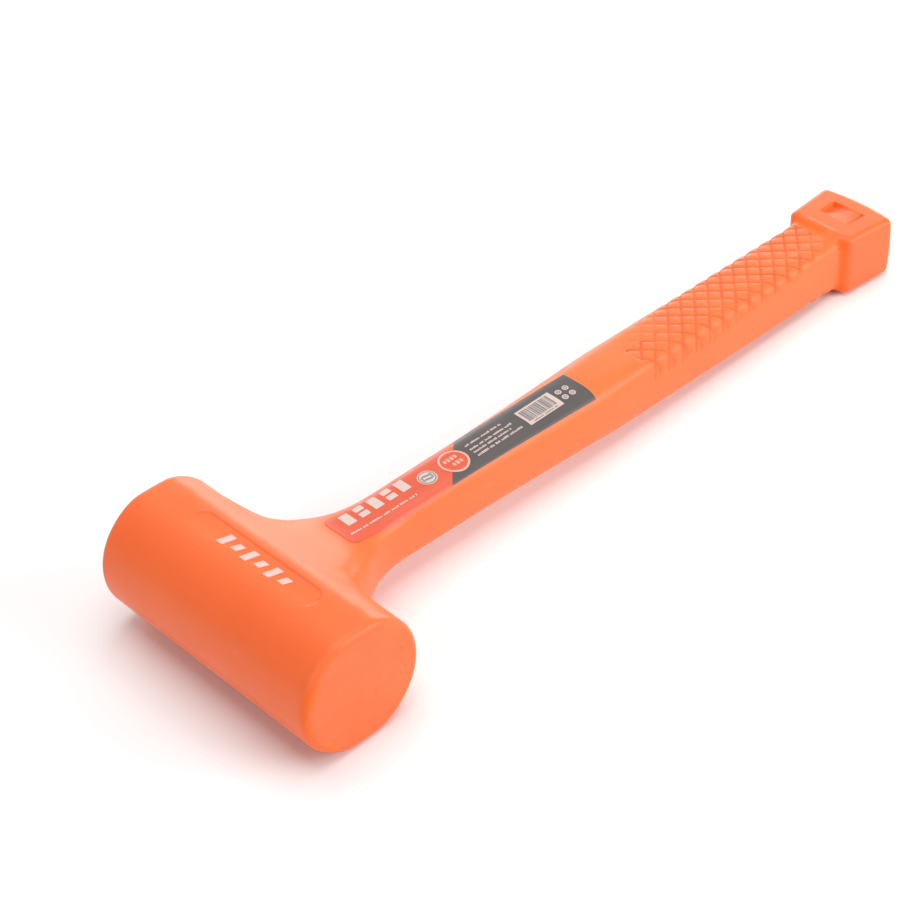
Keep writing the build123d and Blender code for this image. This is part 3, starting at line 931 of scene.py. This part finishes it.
def bare_steel(name, deep, light, rough, stretch=(1, 1, 1)):
    """Bare steel with drawn or rolled marks and a few darker patches."""
    n = Nodes(name)
    marks = n.noise(500, 3, 0.6, n.place(stretch))
    patches = n.noise(60, 4, 0.6, seed=3)
    n.put(n.shader, "Base Color", n.mix(n.curve(patches, 0.35, 0.7), light, deep))
    n.shader.inputs["Metallic"].default_value = 1.0
    n.put(n.shader, "Roughness", n.curve(marks, 0.3, 0.7, rough - 0.08, rough + 0.1))
    n.put(n.shader, "Normal", n.bump(marks, 0.00006, 0.35))
    return n.material


def weld_metal():
    """Weld bead: rippled, with heat-tinted colour."""
    n = Nodes("weld_metal")
    tint = n.noise(140, 3, 0.6)
    n.put(n.shader, "Base Color", n.ramp(tint, (0.3, (0.10, 0.08, 0.09)), (0.5, (0.30, 0.25, 0.20)),
                                         (0.72, (0.36, 0.34, 0.36))))
    n.shader.inputs["Metallic"].default_value = 1.0
    n.put(n.shader, "Roughness", n.curve(n.noise(320, 3), 0.3, 0.7, 0.32, 0.6))
    n.put(n.shader, "Normal", n.bump(n.noise(260, 3, 0.5, seed=8), 0.0004, 0.7))
    return n.material


PLASTIC_DEEP = (0.92, 0.142, 0.031)
PLASTIC_LIGHT = (0.95, 0.160, 0.038)
# paler orange for rubs and scratches, and for the painted highlight on the upper rim
PLASTIC_WEAR_AND_PAINTED_HIGHLIGHT = (0.95, 0.32, 0.16)
PLASTIC_THIN = (0.95, 0.180, 0.044)
# painted shade: a deeper, more saturated orange
PLASTIC_PAINTED_SHADE = (0.96, 0.138, 0.002)
# darker orange for dirt and for painted shade
PLASTIC_DIRT_AND_PAINTED_SHADE = (0.60, 0.085, 0.020)

PLASTIC = moulded_plastic()
FILM_RED = printed_film("film_red", (0.66, 0.096, 0.042), (0.72, 0.110, 0.050), 0.36)
FILM_DARK = printed_film("film_dark", (0.084, 0.071, 0.069), (0.094, 0.080, 0.077), 0.38)
INK_WHITE = printed_ink("ink_white", (0.66, 0.52, 0.46), (0.60, 0.43, 0.38))
INK_PINK = printed_ink("ink_pink", (0.74, 0.42, 0.34), (0.70, 0.34, 0.26))
INK_GREY = printed_ink("ink_grey", (0.20, 0.19, 0.19), (0.30, 0.28, 0.27))
INK_HEAD = printed_ink("ink_head", (0.76, 0.50, 0.46), (0.74, 0.42, 0.36))
STEEL = {
    "canister_tube": bare_steel("drawn_tube", (0.42, 0.42, 0.43), (0.60, 0.60, 0.61), 0.34, (0.1, 1, 1)),
    "canister_cap_a": bare_steel("pressed_cap", (0.44, 0.44, 0.44), (0.62, 0.62, 0.62), 0.38),
    "handle_rod": bare_steel("rolled_bar", (0.22, 0.21, 0.21), (0.42, 0.42, 0.43), 0.48, (1, 0.1, 1)),
    "shot_charge": bare_steel("dull_shot", (0.34, 0.34, 0.35), (0.56, 0.56, 0.57), 0.42),
    "rod_weld": weld_metal(),
}
STEEL["canister_cap_b"] = STEEL["canister_cap_a"]
STEEL["seam_weld_a"] = STEEL["seam_weld_b"] = STEEL["rod_weld"]

# ------------------------------------------------------------------ build
jacket = make_jacket()
jacket.data.materials.append(PLASTIC)
for node, material in STEEL.items():
    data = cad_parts[node].data
    data.materials.clear()
    data.materials.append(material)

rng = random.Random(11)
FILM_TOP = LIFT + FILM
INK_TOP = FILM_TOP + INK
skin("sticker_red", [film_patch(False)], LIFT, FILM_TOP, "label_red", FILM_RED)
skin("sticker_dark", [film_patch(True)], LIFT, FILM_TOP, "label_dark", FILM_DARK)
skin("sticker_ring_ground", [ring_patch(*RING_AT, RING_SIZE - 0.1)], FILM_TOP + APART, INK_TOP, None,
     FILM_RED)
skin("sticker_print", white_patches(rng), FILM_TOP + APART, INK_TOP, "label_print", INK_WHITE)
skin("sticker_print_grey", grey_patches(rng), INK_TOP + APART, INK_TOP + INK, "label_print_grey",
     INK_GREY)
skin("sticker_ring", ring_patches(rng), INK_TOP + APART, INK_TOP + INK, None, INK_PINK)
skin("head_print", mark_patches(), HEAD_LIFT, HEAD_LIFT + INK, "head_mark", INK_HEAD,
     start_z=24.0)

# ------------------------------------------------------------------ floor, light and camera


def make_floor():
    size = 1.6
    below = 0.0002
    bpy.ops.mesh.primitive_grid_add(x_subdivisions=2, y_subdivisions=2, size=size, location=(0, 0, -below))
    floor = bpy.context.object
    floor.name = "floor"
    n = Nodes("pale_floor")
    tone = n.ramp(n.noise(8, 2), (0.3, (0.91, 0.91, 0.91)), (0.7, (0.93, 0.93, 0.93)))
    n.put(n.shader, "Base Color", tone)
    n.shader.inputs["Roughness"].default_value = 0.8
    floor.data.materials.append(n.material)


def soft_box(name, location, target, size, power):
    light = bpy.data.lights.new(name, "AREA")
    light.shape = "RECTANGLE"
    light.size, light.size_y = size
    light.energy = power
    made = bpy.data.objects.new(name, light)
    made.location = location
    made.rotation_mode = "QUATERNION"
    made.rotation_quaternion = (Vector(target) - Vector(location)).to_track_quat("-Z", "Y")
    bpy.context.scene.collection.objects.link(made)


def make_world(strength):
    world = bpy.data.worlds.new("studio")
    world.use_nodes = True
    world.node_tree.nodes["Background"].inputs["Color"].default_value = (1, 1, 1, 1)
    world.node_tree.nodes["Background"].inputs["Strength"].default_value = strength
    bpy.context.scene.world = world


VIEW_AZIMUTH = radians(47.766)      # of the tool frame, before the mallet is tilted onto the floor
VIEW_HEIGHT = radians(38.678)
VIEW_ROLL = radians(-2.396)
VIEW_AIM = (58.25, 48.21)           # how far the aim lies left of and above the head's centre
VIEW_DISTANCE = 728.6
VIEW_LENS = 96.91


def make_camera():
    a, e, r = VIEW_AZIMUTH, VIEW_HEIGHT, VIEW_ROLL
    back = Vector((sin(a) * cos(e), -cos(a) * cos(e), sin(e)))
    level = Vector((cos(a), sin(a), 0))
    upright = back.cross(level)
    right = cos(r) * level + sin(r) * upright
    up = -sin(r) * level + cos(r) * upright
    eye = right * VIEW_AIM[0] + up * VIEW_AIM[1] + back * VIEW_DISTANCE
    data = bpy.data.cameras.new("camera")
    data.sensor_width = 36
    data.lens = VIEW_LENS
    data.clip_start, data.clip_end = 0.01, 10
    camera = bpy.data.objects.new("camera", data)
    turn = Matrix((right, up, back)).transposed().to_4x4()
    camera.matrix_world = Matrix.Rotation(-TILT, 4, "X") @ turn
    camera.location = TO_ROW @ eye
    bpy.context.scene.collection.objects.link(camera)
    bpy.context.scene.camera = camera


make_floor()
make_world(0.26)
soft_box("overhead", (0, 0.05, 1.3), (0, 0, 0), (1.2, 1.2), 13.5)
soft_box("backdrop", (-0.95, 1.25, 0.28), (0, 0, 0.02), (1.8, 0.5), 13)
soft_box("key", (1.12, 0.7, 0.62), (0, 0.02, 0), (1.0, 0.8), 13.5)
soft_box("front", (0.2, -1.3, 0.6), (0, 0, 0), (1.0, 0.8), 3.6)
soft_box("left", (-1.25, 0, 0.6), (0, 0, 0), (1.0, 0.8), 2)
make_camera()
bpy.context.scene.view_settings.view_transform = "Standard"
